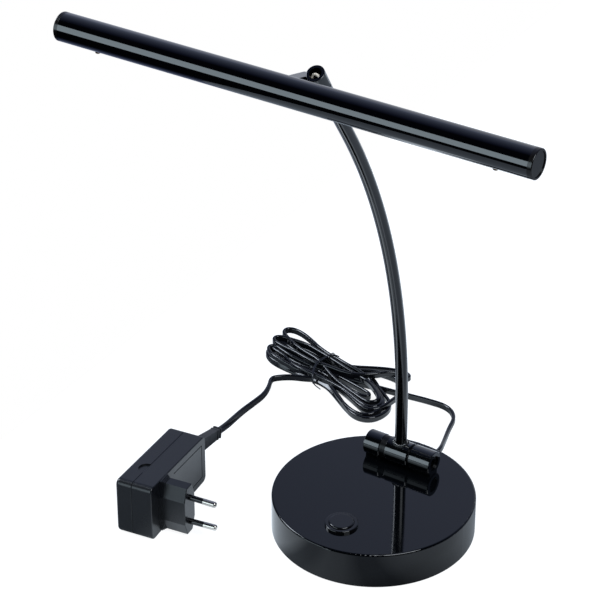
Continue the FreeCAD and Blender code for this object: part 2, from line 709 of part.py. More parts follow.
BOARD_TOP = HEAD_Z + SHELF_RISE
CHIP_TOP = BOARD_TOP - BOARD_T
BOARD_START = HEAD_LEFT + BOARD_MARGIN
BOARD_L = HEAD_L - 2 * BOARD_MARGIN


def led_board():
    """Circuit strip under the shelf, drilled for the tip screws."""
    low = V(BOARD_START, HEAD_Y - BOARD_W / 2, CHIP_TOP)
    board = block(low, low + V(BOARD_L, BOARD_W, BOARD_T))
    for screw in tip_screw_list():
        board = board.cut(screw)
    return one(board)


def led_chips():
    """Row of light chips between the tip screws."""
    row_start = HEAD_LEFT + TIP_SCREW_INSET + CHIP_CLEAR
    pitch = (HEAD_L - 2 * (TIP_SCREW_INSET + CHIP_CLEAR)) / CHIP_COUNT
    low = V(row_start + (pitch - CHIP_L) / 2, HEAD_Y - CHIP_W / 2, CHIP_TOP - CHIP_T)
    first = block(low, low + V(CHIP_L, CHIP_W, CHIP_T))
    return Part.makeCompound([first.translated(X * (k * pitch)) for k in range(CHIP_COUNT)])


def diffuser():
    """Opal strip whose underside carries on the tube's round."""
    start = HEAD_LEFT + CAP_T
    length = HEAD_L - 2 * CAP_T
    width = SLOT_W - 2 * HOLE_GAP
    low = V(start, HEAD_Y - width / 2, HEAD_Z - HEAD_R)
    strip = block(low, V(start + length, HEAD_Y + width / 2, HEAD_Z + LIP_BOTTOM))
    strip = strip.common(rod(HEAD_D, head_at(start), X, length))
    for screw in tip_screw_list():
        strip = strip.cut(screw)
    return one(strip)


def tip_screw_list():
    """Small pan-head screws through diffuser, board and shelf, near each end of the head."""
    screws = []
    for x in (HEAD_LEFT + TIP_SCREW_INSET, HEAD_RIGHT - TIP_SCREW_INSET):
        seat = V(x, HEAD_Y, HEAD_Z - HEAD_R)
        head = rod(TIP_SCREW_HEAD_D, seat, -Z, TIP_SCREW_HEAD_T)
        lower_rim = flat_ring_edges(head, Z, seat.z - TIP_SCREW_HEAD_T, TIP_SCREW_HEAD_D / 2)
        head = head.makeFillet(TIP_SCREW_HEAD_T / 2, lower_rim)
        shank = rod(TIP_SCREW_D, seat, Z, BOARD_TOP + SHELF_T - seat.z)
        screws.append(one(head.fuse(shank)))
    return screws


def diffuser_screws():
    return Part.makeCompound(tip_screw_list())


# ---------------------------------------------------------------- adaptor
def place_adaptor(shape):
    """From the adaptor's own axes to where it stands on the table."""
    turn = FreeCAD.Rotation(ADAPTOR_A, Z, ADAPTOR_C, "XYZ")
    shape.Placement = FreeCAD.Placement(ADAPTOR_CORNER, turn).multiply(shape.Placement)
    return shape


def adaptor_slab(inset, near_c, far_c):
    """Slab of the housing's side outline, drawn in from the edges by an inset."""
    slope = (ADAPTOR_NEAR_H - ADAPTOR_FAR_H) / ADAPTOR_L
    drop = inset * math.hypot(1, slope)
    left = inset
    right = ADAPTOR_L - inset
    corners = [
        V(left, inset, near_c),
        V(right, inset, near_c),
        V(right, ADAPTOR_NEAR_H - slope * right - drop, near_c),
        V(left, ADAPTOR_NEAR_H - slope * left - drop, near_c),
    ]
    slab = flat_face(corners).extrude(Z * (far_c - near_c))
    uprights = [edge for edge in slab.Edges if edge.BoundBox.ZLength > TOUCH]
    return slab.makeFillet(max(ADAPTOR_CORNER_R - inset, INNER_CORNER_R), uprights)


def face_edges(shape, c):
    """Edges that lie in one plane of the adaptor's plug axis."""
    return [edge for edge in shape.Edges
            if edge.BoundBox.ZLength < TOUCH and abs(edge.BoundBox.ZMin - c) < TOUCH]


def relief_slab(width, height, place):
    """Flat rectangle across the lead, at a place along it."""
    return flat_face([V(-width / 2, -height / 2, place), V(width / 2, -height / 2, place),
                      V(width / 2, height / 2, place), V(-width / 2, height / 2, place)])


def adaptor_strain_relief():
    """Moulded block in line with the lead, which tapers to two flanges round it."""
    outlet = PLUG_ROUTE[0]
    heading = PLUG_ROUTE[1] - outlet
    heading.normalize()
    to_housing = ((outlet - ADAPTOR_CORNER).dot(ADAPTOR_A) - ADAPTOR_L) / heading.dot(ADAPTOR_A)
    root = relief_slab(RELIEF_ROOT_W, RELIEF_ROOT_H, -to_housing - RELIEF_ROOT)
    tip = relief_slab(RELIEF_TIP_W, RELIEF_TIP_H, 0)
    taper = Part.makeLoft([root.OuterWire, tip.OuterWire], True, True)
    for k in range(RELIEF_FLANGES):
        place = -RELIEF_FLANGE_T - k * RELIEF_FLANGE_PITCH
        flange = relief_slab(RELIEF_FLANGE_W, RELIEF_FLANGE_H, place)
        taper = taper.fuse(flange.extrude(Z * RELIEF_FLANGE_T))
    across = heading.cross(Z)
    taper.Placement = FreeCAD.Placement(outlet, FreeCAD.Rotation(across, Z, heading, "ZXY"))
    return one(taper)


def adaptor_front_shell():
    """Half housing with the plug face, its engraved panel and its seam."""
    shell = adaptor_slab(0, -FRONT_T, 0)
    shell = shell.makeFillet(FRONT_EDGE_R, face_edges(shell, 0))
    shell = shell.makeChamfer(SEAM_CHAMFER, face_edges(shell, -FRONT_T))
    shell = shell.cut(adaptor_slab(ADAPTOR_WALL, -FRONT_T, -ADAPTOR_WALL))
    groove = adaptor_slab(PANEL_INSET, -PANEL_GROOVE_DEPTH, 0)
    groove = groove.cut(adaptor_slab(PANEL_INSET + PANEL_GROOVE_W, -PANEL_GROOVE_DEPTH, 0))
    under_plug = block(V(0, 0, -PANEL_GROOVE_DEPTH), V(PLUG_A + NOSE_W, ADAPTOR_NEAR_H, 0))
    shell = shell.cut(groove.cut(under_plug))
    for pin in plug_pin_list():
        shell = shell.cut(pin)
    return one(place_adaptor(shell).cut(adaptor_strain_relief()))


def adaptor_rear_shell():
    """Half housing with rounded edges and a finger notch at the seam."""
    back = -FRONT_T - REAR_T
    shell = adaptor_slab(0, back, -FRONT_T)
    shell = shell.makeFillet(REAR_EDGE_R, face_edges(shell, back))
    shell = shell.makeChamfer(SEAM_CHAMFER, face_edges(shell, -FRONT_T))
    shell = shell.cut(adaptor_slab(ADAPTOR_WALL, back + ADAPTOR_WALL, -FRONT_T))
    slope = math.atan2(ADAPTOR_NEAR_H - ADAPTOR_FAR_H, ADAPTOR_L)
    roof = V(NOTCH_A, ADAPTOR_NEAR_H - NOTCH_A * math.tan(slope), -FRONT_T)
    inward = V(-math.sin(slope), -math.cos(slope), 0)
    shell = shell.cut(rod(2 * NOTCH_R, roof, inward, NOTCH_DEPTH))
    return one(place_adaptor(shell).cut(adaptor_strain_relief()))


def nose_outline(grow, c):
    """Long hexagon of the plug's body, with slim ends."""
    half_w = NOSE_W / 2 + grow
    half_tip = NOSE_TIP_W / 2 + grow
    half_h = NOSE_H / 2 + grow
    half_flat = NOSE_FLAT_H / 2
    corners = [(half_tip, half_h), (half_w, half_flat), (half_w, -half_flat), (half_tip, -half_h),
               (-half_tip, -half_h), (-half_w, -half_flat), (-half_w, half_flat), (-half_tip, half_h)]
    return flat_face([V(PLUG_A + a, PLUG_B + b, c) for a, b in corners])


def adaptor_plug_nose():
    """Plug body on three shallow steps, bored for its pins."""
    nose = nose_outline(0, 0).extrude(Z * NOSE_L)
    nose = nose.makeFillet(NOSE_EDGE_R, face_edges(nose, NOSE_L))
    for k in range(STEP_COUNT):
        step = nose_outline(STEP_W * (STEP_COUNT - k), k * STEP_T)
        nose = nose.fuse(step.extrude(Z * STEP_T))
    for pin in plug_pin_list():
        nose = nose.cut(pin)
    return place_adaptor(one(nose))


def leaning(shape, side):
    """From a pin's own axis to its place in the plug's face."""
    lean = FreeCAD.Rotation(X, side * PIN_LEAN)
    root = V(PLUG_A, PLUG_B + side * PIN_SPACING / 2, NOSE_L)
    shape.Placement = FreeCAD.Placement(root, lean)
    return shape


def plug_pin_list():
    """Necked pins with rounded tips, in the adaptor's axes."""
    pins = []
    for side in (-1, 1):
        neck = rod(PIN_NECK_D, -Z * PIN_ROOT, Z, PIN_ROOT + SLEEVE_L)
        tip = rod(PIN_D, Z * SLEEVE_L, Z, PIN_L - SLEEVE_L)
        tip = tip.makeFillet(PIN_TIP_R, flat_ring_edges(tip, Z, PIN_L, PIN_D / 2))
        pins.append(leaning(one(neck.fuse(tip)), side))
    return pins


def plug_pins():
    return Part.makeCompound([place_adaptor(pin) for pin in plug_pin_list()])


def pin_sleeves():
    """Insulating sleeves, trimmed flat where they stand on the plug body."""
    plug_body = nose_outline(0, 0).extrude(Z * NOSE_L)
    sleeves = []
    for side in (-1, 1):
        cover = sleeve(SLEEVE_D, PIN_NECK_D, -Z * SLEEVE_D, Z, SLEEVE_L + SLEEVE_D)
        sleeves.append(place_adaptor(leaning(cover, side).cut(plug_body)))
    return Part.makeCompound(sleeves)


CIRCUIT_C = -FRONT_T - REAR_T + ADAPTOR_WALL


def adaptor_circuit():
    low = V(CIRCUIT_A, CIRCUIT_B, CIRCUIT_C)
    return place_adaptor(block(low, low + V(CIRCUIT_L, CIRCUIT_H, CIRCUIT_T)))


def adaptor_transformer():
    low = V(TRANSFORMER_A, CIRCUIT_B + (CIRCUIT_H - TRANSFORMER_H) / 2, CIRCUIT_C + CIRCUIT_T)
    return place_adaptor(block(low, low + V(TRANSFORMER_L, TRANSFORMER_H, TRANSFORMER_T)))


# ---------------------------------------------------------------- lead
def cord_path(points):
    """Straight runs joined by tangent arcs, as large as the runs allow."""
    edges = []
    start = points[0]
    for before, corner, after in zip(points, points[1:], points[2:]):
        back = before - corner
        ahead = after - corner
        half_turn = (math.pi - back.getAngle(ahead)) / 2
        reach = ARC_SHARE * min(back.Length, ahead.Length)
        radius = reach / math.tan(half_turn)
        back.normalize()
        ahead.normalize()
        inward = (back + ahead).normalize()
        middle = corner + inward * (radius / math.cos(half_turn) - radius)
        edges.append(Part.LineSegment(start, corner + back * reach).toShape())
        edges.append(Part.Arc(corner + back * reach, middle, corner + ahead * reach).toShape())
        start = corner + ahead * reach
    edges.append(Part.LineSegment(start, points[-1]).toShape())
    return Part.Wire(edges)


def cord_tube(name, points):
    path = cord_path(points)
    radii = [round(edge.Curve.Radius, 1) for edge in path.Edges if isinstance(edge.Curve, Part.Circle)]
    tube = along(path, CORD_D)
    section = math.pi * (CORD_D / 2) ** 2
    print(name, "length", round(path.Length, 1), "radii", radii,
          "volume over section times length", round(tube.Volume / (section * path.Length), 4))
    return tube


def cord_base_run():
    return cord_tube("cord_base_run", BASE_ROUTE)


def cord_plug_run():
    return cord_tube("cord_plug_run", PLUG_ROUTE)


def hank_frame():
    """Heading of the hank, and its waist circles' place along it and beside it."""
    heading = HANK_RIGHT - HANK_LEFT
    span = heading.Length
    heading.normalize()
    left_reach = HANK_LEFT_R + HANK_WAIST_R
    right_reach = HANK_RIGHT_R + HANK_WAIST_R
    ahead = (span ** 2 + left_reach ** 2 - right_reach ** 2) / (2 * span)
    beside = math.sqrt(left_reach ** 2 - ahead ** 2)
    return heading, V(-heading.y, heading.x, 0), ahead, beside


def hank_solid(grow):
    """Two round ends drawn in to a waist, grown outwards all over."""
    heading, side, ahead, beside = hank_frame()
    left_r = HANK_LEFT_R + grow
    right_r = HANK_RIGHT_R + grow
    waist_r = HANK_WAIST_R - grow
    edges = []
    touches = []
    for way in (1, -1):
        centre = HANK_LEFT + heading * ahead + side * (way * beside)
        on_left = HANK_LEFT + (centre - HANK_LEFT).normalize() * left_r
        on_right = HANK_RIGHT + (centre - HANK_RIGHT).normalize() * right_r
        nearest = centre - side * (way * waist_r)
        edges.append(Part.Arc(on_left, nearest, on_right).toShape())
        touches.append((on_left, on_right))
    left_end = Part.Arc(touches[0][0], HANK_LEFT - heading * left_r, touches[1][0])
    right_end = Part.Arc(touches[0][1], HANK_RIGHT + heading * right_r, touches[1][1])
    outline = Part.Wire(Part.__sortEdges__(edges + [left_end.toShape(), right_end.toShape()]))
    body = Part.Face(outline).extrude(Z * (HANK_H + 2 * grow))
    rims = [edge for edge in body.Edges if edge.BoundBox.ZLength < TOUCH]
    body = body.makeFillet(HANK_EDGE_R + grow, rims)
    body.translate(Z * (HANK_BOTTOM - grow))
    return body


def cord_tie():
    """Wire tie drawn round the hank where it is narrow."""
    heading = (HANK_RIGHT - HANK_LEFT).normalize()
    slab = Part.makeBox(TIE_W, 2 * HANK_RIGHT_R, 2 * HANK_H, V(-TIE_W / 2, -HANK_RIGHT_R, -HANK_H / 2))
    slab.Placement = FreeCAD.Placement(HANK_LEFT + heading * TIE_AHEAD, FreeCAD.Rotation(X, heading))
    return one(slab.common(hank_solid(TIE_PROUD)).cut(hank_solid(TIE_PROUD - TIE_T)))


def cord_hank():
    """Outer shape of the tied hank, which takes in the ends of both runs."""
    body = hank_solid(0).cut(cord_tie())
    for points in (BASE_ROUTE, PLUG_ROUTE):
        body = body.cut(along(cord_path(points), CORD_D))
    return one(body)


PIECES = [
    base_cover, base_weight, base_plate, base_plate_screws, foot_pad, cord_grommet,
    switch_bezel, switch_nut, switch_body, switch_button,
    hinge_left_barrel, hinge_right_barrel, hinge_middle_barrel, hinge_washers,
    hinge_bolt, hinge_nut, hinge_foot_screws,
    arm_tube, arm_wires, arm_knuckle,
    pivot_bolt, friction_washer, head_neck, neck_screws,
    head_tube, end_cap_left, end_cap_right, led_board, led_chips, diffuser, diffuser_screws,
    adaptor_front_shell, adaptor_rear_shell, adaptor_plug_nose, plug_pins, pin_sleeves,
    adaptor_circuit, adaptor_transformer, adaptor_strain_relief,
    cord_base_run, cord_plug_run, cord_hank, cord_tie,
]

os.makedirs("parts", exist_ok=True)
for piece in PIECES:
    shape = piece()
    shape.exportStep("parts/" + piece.__name__ + ".step")
    print(piece.__name__, "solids", len(shape.Solids), "valid", shape.isValid(),
          "volume", round(shape.Volume, 1))
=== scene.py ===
import bpy
import math
import numpy as np
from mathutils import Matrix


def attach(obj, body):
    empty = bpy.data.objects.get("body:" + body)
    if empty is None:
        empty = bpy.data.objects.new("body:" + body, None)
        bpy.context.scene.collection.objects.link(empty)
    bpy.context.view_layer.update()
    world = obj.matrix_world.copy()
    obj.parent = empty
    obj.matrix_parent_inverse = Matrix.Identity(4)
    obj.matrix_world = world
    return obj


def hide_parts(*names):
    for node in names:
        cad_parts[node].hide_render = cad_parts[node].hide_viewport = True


# Piano lamp: finishes, the flat twin lead with its tied hank, the tie and the
# weld at the arm's foot.  Metres in the object's frame: +Z up, +X along the
# head, front at -Y, origin at the centre of the base on the table.

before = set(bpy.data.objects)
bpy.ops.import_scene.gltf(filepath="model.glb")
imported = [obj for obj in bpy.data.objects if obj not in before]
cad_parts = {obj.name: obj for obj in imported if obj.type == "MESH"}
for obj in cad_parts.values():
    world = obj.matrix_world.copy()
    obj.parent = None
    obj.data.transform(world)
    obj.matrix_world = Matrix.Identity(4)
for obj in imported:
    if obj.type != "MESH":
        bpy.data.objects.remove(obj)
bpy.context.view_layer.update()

MM = 0.001

# ---------------------------------------------------------------- camera
CAMERA_PLACE = (0.66726, -1.13882, 0.98285)
CAMERA_TURN = (58.34, 0.0, 32.40)          # degrees
CAMERA_LENS = 153.51                       # millimetres, on a 36 mm sensor
SENSOR_WIDTH = 36.0

# ---------------------------------------------------------------- lead
CORD_WIDTH = 4.8 * MM
CORE_D = 2.5 * MM                          # each of the lead's two cores
CORE_ARC = 108.0                           # degrees of a core's round, to each side of its outermost point
CORE_POINTS = 11
CORD_STEPS = 12                            # sections for each point of the route

# From the grommet along the table to the hank
BASE_ROUTE = np.array([
    (0.0, 78.5, 8.0),
    (0.0, 86.5, 8.0),
    (-2.9, 94.5, 5.8),
    (-6.6, 104.5, 3.4),
    (-10.6, 116.5, 2.5),
    (-14.0, 131.5, 2.55),
    (-24.5, 139.6, 2.5),
    (-40.0, 138.8, 2.55),
    (-54.8, 136.8, 2.5),
]) * MM

# From the strain relief along the table to the hank
PLUG_ROUTE = np.array([
    (-136.4, 24.5, 7.9),
    (-137.4, 36.0, 5.6),
    (-139.2, 48.2, 3.6),
    (-140.3, 60.4, 2.5),
    (-139.3, 72.6, 2.55),
    (-138.6, 84.5, 2.5),
    (-141.0, 94.6, 2.5),
    (-145.2, 103.4, 2.5),
    (-143.4, 107.4, 2.5),
    (-135.2, 113.8, 2.55),
    (-125.6, 117.4, 2.5),
    (-119.0, 121.1, 2.55),
]) * MM

# The hank's own axes: along it from its tied waist, beside it, and up
HANK_WAIST = np.array((-128.75, 134.96, 0.0)) * MM
HANK_ALONG = np.array((0.9651, -0.2620, 0.0))
HANK_BESIDE = np.array((0.2620, 0.9651, 0.0))

# Each turn of the hank, from its strand that comes in at the waist, round its
# fold at the left end and back through the waist, then round its loop at the
# right: millimetres along the hank, beside it and up.
TURNS = [
    [(36, 7, 2.5), (15, -1.6, 2.5), (0, -6.8, 2.5), (-14, -8.8, 2.5), (-24, -8.0, 2.5), (-31.0, -7.4, 2.5),
     (-35.2, -8.6, 2.5), (-36.0, -12.0, 2.5), (-32.2, -15.8, 2.5), (-26, -17.8, 2.5), (-19, -17.9, 2.5),
     (-11, -16.9, 2.5), (-3, -15.4, 2.5), (6, -13.6, 2.6), (14, -12.0, 2.6), (22.4, -11.0, 2.6),
     (30, -12.2, 2.6), (37.5, -14.6, 2.5), (45.6, -17.6, 2.5), (53.7, -20.5, 2.5), (60.9, -22.5, 2.5),
     (66.6, -22.5, 2.5), (71.6, -20.6, 2.5), (75.2, -16.8, 2.5), (76.6, -11.6, 2.5), (76.4, -6, 2.5),
     (75.0, -1.0, 2.5), (71.8, 3.6, 2.5), (67.2, 6.8, 2.5), (62, 8.8, 2.5), (57, 10.6, 2.5),
     (52, 12.4, 2.5), (47, 14.8, 2.5), (41, 17.4, 2.5), (34, 16.6, 2.5), (26, 12.4, 2.5), (16, 7.8, 2.5)],
    [(6, 5.4, 2.5), (-6, 3.4, 2.5), (-18, 0.4, 2.5), (-27, -2.2, 2.5), (-32.4, -3.8, 2.5),
     (-34.8, -6.0, 2.5), (-34.4, -9.0, 2.6), (-30, -11.8, 2.6), (-20, -12.8, 2.5), (-10, -11.6, 2.5),
     (0, -9.3, 2.5), (10, -7.2, 2.5), (20, -7.2, 2.5), (30, -7.8, 2.5), (39.4, -8.6, 2.5), (48, -10.1, 2.5),
     (55.7, -11.7, 2.5), (62, -13.2, 2.5), (67.6, -13.2, 2.5), (71.2, -10.4, 2.5), (72, -5, 2.5),
     (69.8, 0, 2.5), (65, 3.4, 2.5), (59, 5.8, 2.5), (53, 8.4, 2.5), (47, 11.2, 2.5), (40, 13.8, 2.5),
     (32, 11.8, 2.5), (22, 6.4, 2.5), (12, 2.8, 2.5)],
    [(0, 0.8, 2.5), (-12, 0.8, 2.5), (-22, 1.6, 2.6), (-29, 2.0, 3.0), (-34.6, 1.0, 3.4),
     (-37.4, -1.4, 3.6), (-36.6, -4.2, 3.2), (-30, -5.8, 2.8), (-18, -6.4, 2.5), (-6, -5.2, 2.5),
     (8, -3.8, 2.5), (20, -3.4, 2.5), (30, -3.2, 2.5), (36, -3.4, 2.5), (42, -3.5, 2.5), (48, -3.2, 2.6),
     (53.0, -2.0, 2.6), (54.6, 0.4, 2.7), (52.4, 2.6, 2.7), (47.0, 2.8, 2.7), (41, 2.6, 2.7),
     (35, 2.5, 2.6), (29, 2.3, 2.5), (22, 1.8, 2.5), (16, 0.6, 2.5), (8, -1.2, 2.7)],
    [(0, -4.6, 4.0), (-8, -6.2, 4.6), (-16, -7.8, 5.2), (-24, -7.8, 5.6), (-30.6, -7.4, 5.8),
     (-34.6, -8.8, 5.8), (-35.2, -12.0, 5.8), (-31.6, -15.0, 5.8), (-25.4, -17.0, 5.8), (-19, -17.0, 5.6),
     (-11, -16.0, 5.0), (-3, -15.4, 4.2), (5, -12.6, 3.8), (13, -10.4, 3.4), (21, -9.2, 3.0),
     (28, -10.6, 2.8), (35, -13.6, 2.7), (42, -16.4, 2.6), (49, -18.6, 2.7), (56, -20.2, 2.8),
     (62, -20.8, 3.0), (68, -19.6, 3.2), (71.8, -16.2, 3.6), (73.2, -11.4, 4.0), (72.6, -5.6, 4.4),
     (69.6, -0.4, 4.8), (65.0, 3.0, 5.0), (59.6, 5.6, 5.0), (53.6, 8.2, 4.8), (47.4, 10.8, 4.2),
     (41, 11.8, 3.4), (33, 8.2, 3.0), (24, 3.6, 3.0), (16, 0.4, 3.8)],
    [(8, -1.2, 4.8), (-6, -1.4, 5.0), (-18, -2.2, 4.8), (-27, -3.6, 4.8), (-33.0, -4.8, 4.8),
     (-35.8, -7.0, 4.8), (-34.6, -9.4, 4.8), (-31, -10.2, 4.8), (-25.3, -10.3, 4.8), (-19.3, -11.0, 4.9),
     (-14.3, -12.4, 5.0), (-8.1, -13.9, 5.2), (-1, -14.6, 5.6), (6, -13.4, 5.6), (14, -11.6, 5.4),
     (22, -10.4, 5.0), (30, -9.8, 5.0), (38, -9.4, 5.0), (46, -10.0, 5.0), (53, -11.2, 5.0),
     (60, -12.2, 5.0), (65.6, -11.8, 5.0), (69.2, -8.6, 5.0), (70.0, -4.0, 5.2), (67.0, 0.2, 5.4),
     (61.0, 3.9, 5.4), (55.4, 7.1, 5.0), (49.7, 10.2, 4.2), (44.6, 12.4, 4.0), (39.4, 13.6, 4.6),
     (32.5, 13.3, 6.0), (24.5, 12.7, 6.6), (18.4, 12.0, 6.8), (9.5, 12.2, 6.9)],
    [(3, 11.4, 6.9), (-9.6, 12.6, 6.9), (-16.6, 14.3, 6.9), (-22.8, 15.6, 6.9), (-28.5, 16.4, 6.9),
     (-34.2, 16.5, 6.9), (-39.4, 15.4, 6.9), (-42.4, 12.8, 6.9), (-42.4, 9.6, 6.9), (-40.0, 6.9, 6.9),
     (-35.0, 5.3, 6.9), (-29, 3.8, 6.9), (-23.2, 2.4, 6.9), (-17, 1.7, 6.9), (-9, 1.4, 6.9),
     (-1.3, 1.5, 6.9), (5, 0.8, 6.7), (12, -1.4, 6.2), (20, -3.6, 5.4), (28, -5.2, 5.0), (36, -6.4, 5.0),
     (44, -7.0, 5.0), (52, -7.8, 5.0), (58.6, -8.4, 5.2), (63.6, -7.4, 5.6), (66.2, -4.2, 6.2),
     (65.0, -0.6, 6.8), (61.0, 2.2, 7.2), (55, 5.0, 7.0), (49, 7.6, 6.4), (43, 9.4, 5.6), (36, 9.6, 5.4),
     (28, 9.0, 5.9), (19, 8.8, 6.5), (10, 9.0, 6.7)],
    [(1.7, 9.2, 6.7), (-4.5, 9.2, 6.7), (-9.7, 9.2, 6.7), (-14.5, 9.2, 6.7), (-19.6, 8.6, 6.7),
     (-24.6, 7.4, 6.7), (-30, 5.6, 6.7), (-35, 3.8, 6.9), (-38.5, 1.8, 6.9), (-40.2, -1.0, 6.9),
     (-38.8, -3.9, 6.9), (-34.7, -5.2, 6.9), (-29.6, -5.4, 6.9), (-24.1, -4.7, 6.9), (-17.4, -4.0, 6.9),
     (-11.2, -3.8, 6.9), (-4, -3.7, 6.9), (3.7, -2.8, 6.9), (8, -1.2, 7.0), (14.5, 1.0, 7.0),
     (23.1, 2.8, 7.0), (30.3, 5.6, 7.0), (35.4, 9.0, 7.2), (39.0, 12.8, 7.4), (41.6, 16.6, 7.2),
     (43.8, 21.6, 6.8), (45.8, 27.2, 6.2), (49.0, 31.4, 5.2), (53.4, 33.4, 3.8), (56.2, 35.2, 3.0),
     (55.8, 38.4, 2.6), (52.2, 39.6, 2.5), (46.4, 38.2, 2.5), (41.0, 35.2, 2.5), (35.8, 31.4, 2.5),
     (29.1, 25.6, 2.5), (22.1, 19.0, 2.5), (14, 13.4, 2.5), (6, 10.6, 2.5)],
    [(-2, 9.4, 2.5), (-12, 9.0, 2.5), (-22, 7.4, 2.5), (-30, 4.8, 2.6), (-35.6, 2.0, 3.2),
     (-37.6, -1.4, 3.8), (-34, -4.6, 3.6), (-26, -4.8, 3.0), (-16, -2.8, 2.6), (-6, -0.8, 2.6),
     (6, 2.6, 2.6), (16, 5.6, 2.6), (24, 11.0, 3.4), (30, 16.6, 4.6), (35.6, 22.2, 4.4), (41.0, 26.2, 3.2),
     (46.4, 28.6, 2.5), (52.4, 29.6, 2.5), (59.2, 27.4, 2.5), (65.6, 21.4, 2.6), (69.8, 13.4, 4.6),
     (72.0, 5.2, 5.8), (73.2, -3.0, 5.4), (71.8, -10.0, 5.0), (67.4, -14.0, 4.8), (60.6, -14.6, 4.8),
     (52.0, -12.8, 4.8), (44.0, -10.8, 4.8), (36, -9.4, 4.6), (29, -8.6, 3.8), (22.0, -7.9, 2.9)],
]
# Rows of the first turn between which the flat lead leans back on its side
LEANING = (8, 12, 16, 19)
LEAN = -52.0                               # degrees
# How many degrees it leans by its distance from the strain relief
RELIEF_REACH = np.array((0.0, 20.0, 70.0)) * MM
RELIEF_LEAN = (35.0, 30.0, 0.0)


def hank_point(along, beside, up):
    """A point of the hank's own axes, in millimetres, in the object's frame."""
    return HANK_WAIST + (HANK_ALONG * along + HANK_BESIDE * beside + np.array((0, 0, up))) * MM


def cord_route():
    """Control points of the whole lead: base run, the turns of the hank, plug run."""
    hank = [hank_point(*row) for turn in TURNS for row in turn]
    return np.vstack((BASE_ROUTE, hank, PLUG_ROUTE[::-1]))


def nurbs_points(points, steps):
    """Points along one smooth open spline that has the given control points."""
    curve = bpy.data.curves.new("route", "CURVE")
    curve.dimensions = "3D"
    curve.resolution_u = steps
    spline = curve.splines.new("NURBS")
    spline.points.add(len(points) - 1)
    spline.points.foreach_set("co", np.column_stack((points, np.ones(len(points)))).ravel())
    spline.order_u = 3
    spline.use_endpoint_u = True
    carrier = bpy.data.objects.new("route", curve)
    line = bpy.data.meshes.new_from_object(carrier)
    places = np.empty(3 * len(line.vertices))
    line.vertices.foreach_get("co", places)
    bpy.data.objects.remove(carrier)
    bpy.data.meshes.remove(line)
    bpy.data.curves.remove(curve)
    return places.reshape(-1, 3)


def grid_mesh(name, rings, closed_ends=True):
    """Mesh of a closed profile carried along a path: quads between rings, a face on each end."""
    count, sides = rings.shape[:2]
    ring = np.arange(sides)
    row = np.arange(count - 1)[:, None] * sides
    beside = np.roll(ring, -1)
    quads = np.stack((row + ring, row + beside, row + sides + beside, row + sides + ring), -1)
    faces = quads.reshape(-1, 4).tolist()
    if closed_ends:
        faces += [ring[::-1].tolist(), (ring + (count - 1) * sides).tolist()]
    mesh = bpy.data.meshes.new(name)
    mesh.from_pydata(rings.reshape(-1, 3), [], faces)
    mesh.shade_smooth()
    piece = bpy.data.objects.new(name, mesh)
    bpy.context.collection.objects.link(piece)
    return piece


def sweep(name, path, profile, roll=0.0):
    """Carries a profile along a path.

    Its first axis is the upright made square to the path, its second lies
    across, and both are turned about the path by the roll in degrees.
    """
    ahead = np.gradient(path, axis=0)
    ahead /= np.linalg.norm(ahead, axis=1, keepdims=True)
    upright = np.array((0.0, 0.0, 1.0)) - ahead * ahead[:, 2:]
    upright /= np.linalg.norm(upright, axis=1, keepdims=True)
    across = np.cross(ahead, upright)
    turn = np.radians(np.broadcast_to(roll, len(path)))[:, None]
    first = np.cos(turn) * upright + np.sin(turn) * across
    second = -np.sin(turn) * upright + np.cos(turn) * across
    rings = path[:, None] + profile[None, :, :1] * first[:, None] + profile[None, :, 1:] * second[:, None]
    return grid_mesh(name, rings)


def twin_profile():
    """Two round cores side by side: an arc about each one's centre, with a shallow groove between."""
    offset = (CORD_WIDTH - CORE_D) / 2
    angle = np.radians(np.linspace(-CORE_ARC, CORE_ARC, CORE_POINTS))
    right = np.column_stack((offset + CORE_D / 2 * np.cos(angle), CORE_D / 2 * np.sin(angle)))
    return np.vstack((right, -right))


def round_profile(diameter, sides):
    """Circle of the given diameter."""
    angle = np.linspace(0.0, 2 * math.pi, sides, endpoint=False)
    return diameter / 2 * np.column_stack((np.cos(angle), np.sin(angle)))


# ---------------------------------------------------------------- materials
def linear(code):
    """Linear colour of an sRGB hex value."""
    channels = [int(code[k:k + 2], 16) / 255 for k in (1, 3, 5)]
    return [c / 12.92 if c <= 0.04045 else ((c + 0.055) / 1.055) ** 2.4 for c in channels] + [1.0]


def add(tree, kind, settings=None):
    """Adds a node.  A capitalised or numbered setting is a socket's value or link, any other a property."""
    node = tree.nodes.new(kind)
    for key, value in (settings or {}).items():
        if isinstance(key, str) and key[0].islower():
            setattr(node, key, value)
        elif isinstance(value, bpy.types.NodeSocket):
            tree.links.new(value, node.inputs[key])
        else:
            node.inputs[key].default_value = value
    return node


def blank_material(name):
    """New material with an empty node tree."""
    material = bpy.data.materials.new(name)
    material.use_nodes = True
    material.node_tree.nodes.clear()
    return material


def ramp(tree, along, rows):
    """Colours along a value, from rows of a place from 0 to 1 and a linear colour."""
    node = add(tree, "ShaderNodeValToRGB", {"Fac": along})
    stops = node.color_ramp.elements
    stops.remove(stops[1])
    stops[0].color = rows[0][1]
    for place, colour in rows[1:]:
        stops.new(place).color = colour
    return node.outputs["Color"]


